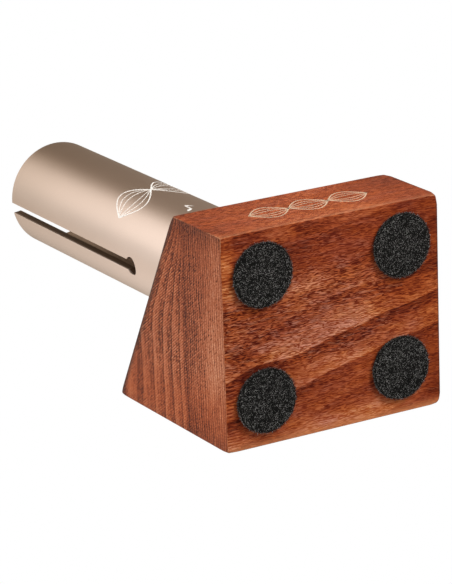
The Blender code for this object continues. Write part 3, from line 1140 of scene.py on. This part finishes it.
felt = {
    "radius": 0.0137,
    "sole": 0.00028,              # height of the sole, its rings and the rounding at its rim
    "soleRings": 26,
    "soleRound": 0.0006,
    "roundSteps": 6,
    # rim, as steps out from the radius and heights, and seat of the film, as radii and heights
    "rim": [(0.0, 0.0013), (0.0, 0.0019), (-0.0001, 0.0022), (-0.0003, 0.00236)],
    "seat": [(0.01355, 0.00236), (0.01345, 0.00194), (0.006, 0.00194), (0.0, 0.00194)],
    "columns": 180,
    "ragged": 0.00007,            # ragged rim: size, waves round it, radii and heights it fades in
    "raggedWaves": (3, 40),
    "raggedOut": (0.011, 0.014),
    "raggedDown": (0.0023, 0.0019),
    "lumps": 0.00008,             # lumpy sole: size, waves and their pace, heights they fade in
    "lumpWaves": 40,
    "lumpPace": 1600,
    "lumpsDown": (0.0010, 0.0004),
    "fibrePoints": 4,
    "fibreRadius": (0.00004, 0.00008),
    "fibreTaper": 8,
    "fibreSides": 3,
    "inset": 0.0002,
    "turnBack": 0.7,
    # threads of the sole and of the rim; shade says how their shades are spread, dark to light
    "face": {"count": 7000, "length": (0.0004, 0.0010), "height": (0.00026, 0.00034), "bend": 1.6,
             "lift": (0.0, 0.00016), "shade": (0.42, 0.90)},
    "rimFuzz": {"count": 2400, "length": (0.0004, 0.0014), "height": (0.00034, 0.0022), "bend": 2.4,
                "lift": 0.0001, "shade": (1.2, 2.3), "spread": 1.1, "thinner": 0.9},
    "fuzz": ((2.8, 2.8, 2.8), 2.6, 4.0, 1.2),
    "fuzzShare": 0.26,
    "shadeShare": 0.84,
    "colours": [
        (0.0, (0.003, 0.003, 0.003)), (0.25, (0.010, 0.009, 0.008)), (0.50, (0.085, 0.080, 0.072)),
        (0.80, (0.480, 0.465, 0.440))],
    "roughness": (0.86, 0.98),
    "specular": 0.2,
    "bump": (0.8, 0.0002),
    "firstSeed": 40,
}
film = {
    "mottle": ((0.3, 1.5, 1.5), 1.4, 2.0),
    "step": (0.0, 1.0, 0.0, 1.0, "LINEAR"),
    "colours": [(0.50, 0.46, 0.36), (0.64, 0.60, 0.50)],
    "roughness": (0.35, 0.55),
}
footNames = ("front_left", "front_right", "back_left", "back_right")


def feltPatches(middle, random):
    # turned pad with a flat sole, a soft rim and a shallow seat for its film, lumpy by sums of waves
    base, curve = felt["sole"], felt["soleRound"]
    flat = felt["radius"] - curve
    arc = np.linspace(0, math.pi / 2, felt["roundSteps"])[1:]
    sole = np.linspace(0, flat, felt["soleRings"])
    turned = np.array([(felt["radius"] + out, up) for out, up in felt["rim"]] + felt["seat"])
    r = np.concatenate([sole, flat + curve * np.sin(arc), turned[:, 0]])[:, None]
    z = np.concatenate([sole * 0 + base, base + curve * (1 - np.cos(arc)), turned[:, 1]])[:, None]
    angle = math.tau * np.arange(felt["columns"])[None, :] / felt["columns"]
    waves = np.arange(*felt["raggedWaves"])[:, None, None]
    size = random.normal(0, 1, waves.shape) / np.sqrt(waves)
    phase = random.uniform(0, math.tau, waves.shape)
    ragged = (size * np.cos(waves * angle + phase)).sum(0)
    outer = portion(r, *felt["raggedOut"]) * portion(z, *felt["raggedDown"])
    x, y = np.moveaxis(polar(r + felt["ragged"] * ragged * outer, angle), -1, 0)
    count = (felt["lumpWaves"], 1, 1)
    alongX = random.normal(0, felt["lumpPace"], count)
    alongY = random.normal(0, felt["lumpPace"], count)
    turn = random.uniform(0, math.tau, count)
    lumps = np.cos(alongX * x + alongY * y + turn).sum(0) / math.sqrt(felt["lumpWaves"])
    z = z + felt["lumps"] * lumps * portion(z, *felt["lumpsDown"])
    grid = np.stack(np.broadcast_arrays(x + middle[0], y + middle[1], z), -1)
    return [(grid, True, {"shade": 0.0})]


def fibrePatch(start, heading, bend, length, height, lift, radius, shade):
    # thin three-sided threads: each bends evenly in the plane of the sole and arches by lift
    s = np.linspace(0, 1, felt["fibrePoints"])[None, :]
    way = heading[:, None] + bend[:, None] * (s - 0.5)
    step = length[:, None] / felt["fibrePoints"]
    x = start[:, :1] + np.cumsum(step * np.cos(way), 1)
    y = start[:, 1:] + np.cumsum(step * np.sin(way), 1)
    z = height[:, None] - lift[:, None] * np.sin(math.pi * s)
    taper = radius[:, None] * np.clip(np.minimum(s, 1 - s) * felt["fibreTaper"], 0, 1)
    corner = np.arange(felt["fibreSides"]) * math.tau / felt["fibreSides"]
    across = taper[..., None] * np.cos(corner)
    up = taper[..., None] * np.sin(corner)
    points = np.stack([x[..., None] - across * np.sin(way)[..., None],
                       y[..., None] + across * np.cos(way)[..., None], z[..., None] + up], -1)
    return [(thread, True, {"shade": value}) for thread, value in zip(points, shade)]


def faceFibres(middle, random):
    # threads start evenly over the sole, in all directions
    face, reach = felt["face"], felt["radius"] - felt["inset"]
    n = face["count"]
    out = reach * np.sqrt(random.uniform(0, 1, n))
    around = random.uniform(0, math.tau, n)
    start = polar(out, around)
    heading = random.uniform(0, math.tau, n)
    length = random.uniform(*face["length"], n)
    # a thread that would leave the sole runs back towards its middle
    end = start + polar(length, heading)
    inwards = around + math.pi + random.normal(0, felt["turnBack"], n)
    heading = np.where(np.linalg.norm(end, axis=1) > reach, inwards, heading)
    return fibrePatch(
        start + middle, heading, random.normal(0, face["bend"], n), length,
        random.uniform(*face["height"], n), random.uniform(*face["lift"], n),
        random.uniform(*felt["fibreRadius"], n), random.beta(*face["shade"], n))


def rimFibres(middle, random):
    # threads start evenly round the rim and lean outwards
    rim = felt["rimFuzz"]
    n = rim["count"]
    around = random.uniform(0, math.tau, n)
    start = polar(felt["radius"] - felt["inset"], around)
    heading = around + random.normal(0, rim["spread"], n)
    return fibrePatch(
        start + middle, heading, random.normal(0, rim["bend"], n), random.uniform(*rim["length"], n),
        random.uniform(*rim["height"], n), random.normal(0, rim["lift"], n),
        random.uniform(*felt["fibreRadius"], n) * rim["thinner"], random.beta(*rim["shade"], n))


def makeFelt():
    material, shader, raw = newMaterial("charcoalFelt")
    fuzz = raw.mottled(*felt["fuzz"])
    tone = fuzz * felt["fuzzShare"] + attribute(raw.tree, "shade") * felt["shadeShare"]
    setInputs(shader, {
        "Base Color": tone.coloured(felt["colours"]),
        "Roughness": fuzz.line(*felt["roughness"]),
        "Specular IOR Level": felt["specular"],
        "Normal": fuzz.bumped(*felt["bump"]),
    })
    return material


feltMaterial = makeFelt()
filmMaterial = makeSpeckled("adhesiveFilm", film)
for i, name in enumerate(footNames):
    middle = np.mean(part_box("felt_pad_" + name), axis=0)[:2]
    random = np.random.default_rng(felt["firstSeed"] + i)
    patches = feltPatches(middle, random) + faceFibres(middle, random) + rimFibres(middle, random)
    pad = makePiece("felt_" + name, patches, feltMaterial, sharpAngle=80)
    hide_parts("felt_pad_" + name)
    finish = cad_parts["pad_adhesive_" + name].data.materials
    finish.clear()
    finish.append(filmMaterial)
print("felt feet made")


# Stage: a pale floor that is seen only from above, white surroundings and soft studio lamps

stage = {
    "floorHalf": 40.0,
    "floorColour": (0.86, 0.86, 0.86, 1.0),
    "floorGlow": 0.40,
    "mirroredGlow": 0.4,
    "whiteFrom": (0.6, 2.4),
    "nearFloor": 0.02,
    "darkest": 0.255,             # what the metal reflects: a dim room with two soft boxes, darker below
    "boxes": [
        {"from": (-0.46, -0.32, 0.826), "edge": (0.79, 1.0), "level": 0.71},
        {"from": (-0.28, 0.49, 0.826), "edge": (0.70, 1.0), "level": 0.54},
    ],
    "below": (-0.6, 0.1, 0.12, 1.0),
    "warmth": (0.3, 1.05, 1.0, 0.0, "LINEAR"),
    "shade": (1.0, 0.84, 0.66),
    "bright": (0.97, 1.0, 1.0),
    "white": (1.0, 1.0, 1.0),
    "ambient": 0.42,
}


def makeFloor():
    half = stage["floorHalf"]
    corners = [(-half, -half, 0), (half, -half, 0), (half, half, 0), (-half, half, 0)]
    mesh = bpy.data.meshes.new("floor")
    mesh.from_pydata(corners, [], [(0, 1, 2, 3)])
    material = bpy.data.materials.new("paleFloor")
    material.use_nodes = True
    tree = material.node_tree
    tree.nodes.clear()
    seen = addNode(tree, "ShaderNodeLightPath", out="Is Camera Ray")
    # the floor glows a little in the picture, less in reflections, and lights nothing else
    shown = seen.larger(seen.also("Is Glossy Ray") * stage["mirroredGlow"])
    matt = addNode(tree, "ShaderNodeBsdfDiffuse", {"Color": stage["floorColour"]})
    glow = addNode(tree, "ShaderNodeEmission", {"Strength": shown * stage["floorGlow"]})
    pale = addNode(tree, "ShaderNodeAddShader", {0: matt, 1: glow})
    white = addNode(tree, "ShaderNodeEmission", {"Strength": shown})
    place = addNode(tree, "ShaderNodeTexCoord", out="Object")
    far = place.vector("LENGTH", out="Value").ramp(*stage["whiteFrom"])
    pale = addNode(tree, "ShaderNodeMixShader", {0: far, 1: pale, 2: white})
    # it is clear from below, to shadow rays, and to what bounces off the object just above it
    under = addNode(tree, "ShaderNodeNewGeometry", out="Backfacing")
    near = seen.also("Ray Length").maths("LESS_THAN", stage["nearFloor"]) * (1.0 - seen)
    through = under.larger(near).larger(seen.also("Is Shadow Ray"))
    clear = addNode(tree, "ShaderNodeBsdfTransparent")
    mixed = addNode(tree, "ShaderNodeMixShader", {0: through, 1: pale, 2: clear})
    setInputs(tree.nodes.new("ShaderNodeOutputMaterial"), {"Surface": mixed})
    mesh.materials.append(material)
    floor = bpy.data.objects.new("floor", mesh)
    bpy.context.scene.collection.objects.link(floor)


def makeWorld():
    world = bpy.data.worlds.new("studio")
    bpy.context.scene.world = world
    world.use_nodes = True
    tree = world.node_tree
    tree.nodes.clear()
    seen = addNode(tree, "ShaderNodeLightPath", out="Is Camera Ray")
    mirrored = seen.also("Is Glossy Ray")
    way = addNode(tree, "ShaderNodeTexCoord", out="Generated")
    room = stage["darkest"]
    for box in stage["boxes"]:
        turn = way.vector("DOT_PRODUCT", tuple(Vector(box["from"]).normalized()), out="Value")
        room = turn.ramp(*box["edge"], 0.0, box["level"]) + room
    room = room * way.split()[2].ramp(*stage["below"])
    level = mirrored.level(stage["ambient"], room)
    level = seen.larger(seen.also("Is Transmission Ray")).level(level, 1.0)
    warmth = mirrored * level.ramp(*stage["warmth"])
    tint = warmth.between(mirrored.between(stage["white"], stage["bright"]), stage["shade"])
    glow = addNode(tree, "ShaderNodeBackground", {"Color": tint, "Strength": level})
    setInputs(tree.nodes.new("ShaderNodeOutputWorld"), {"Surface": glow})


lamps = {
    "key": {"from": (0.40, -0.70, -0.60), "away": 1.2, "size": 0.45, "power": 11.0, "seenIn": "diffuse"},
    # the key's reflection, kept below white
    "glint": {"from": (0.40, -0.70, -0.60), "away": 1.2, "size": 0.45, "power": 5.2, "seenIn": "glossy"},
    "left": {"from": (-0.90, -0.10, -0.20), "away": 1.2, "size": 1.0, "power": 7.2, "seenIn": "diffuse"},
    "top": {"from": (-0.3, -0.5, 0.8), "away": 1.4, "size": 1.0, "power": 11.0, "seenIn": "diffuse"},
    # small cards that brighten the reflection on the foot of the tube
    "card": {"from": (-0.43, -0.37, 0.826), "away": 0.33, "size": 0.22, "power": 0.057,
             "seenIn": "glossy", "aim": (-0.02, -0.015, 0.08)},
    "sideCard": {"from": (-0.342, 0.449, 0.826), "away": 0.33, "size": 0.22, "power": 0.024,
                 "seenIn": "glossy", "aim": (-0.0246, 0.0043, 0.09)},
}


def addLamp(name, lamp, middle):
    aim = Vector(lamp.get("aim", middle))
    data = bpy.data.lights.new(name, "AREA")
    data.shape = "DISK"
    data.size = lamp["size"]
    data.energy = lamp["power"]
    light = bpy.data.objects.new(name, data)
    bpy.context.scene.collection.objects.link(light)
    way = Vector(lamp["from"]).normalized()
    light.location = aim + way * lamp["away"]
    light.rotation_euler = way.to_track_quat("Z", "Y").to_euler()
    light.visible_camera = False
    light.visible_diffuse = lamp["seenIn"] == "diffuse"
    light.visible_glossy = lamp["seenIn"] == "glossy"


makeFloor()
makeWorld()
for name, lamp in lamps.items():
    addLamp(name, lamp, (cadBox[0] + cadBox[1]) / 2)
bpy.context.scene.view_settings.view_transform = "Standard"
print("stage lit")
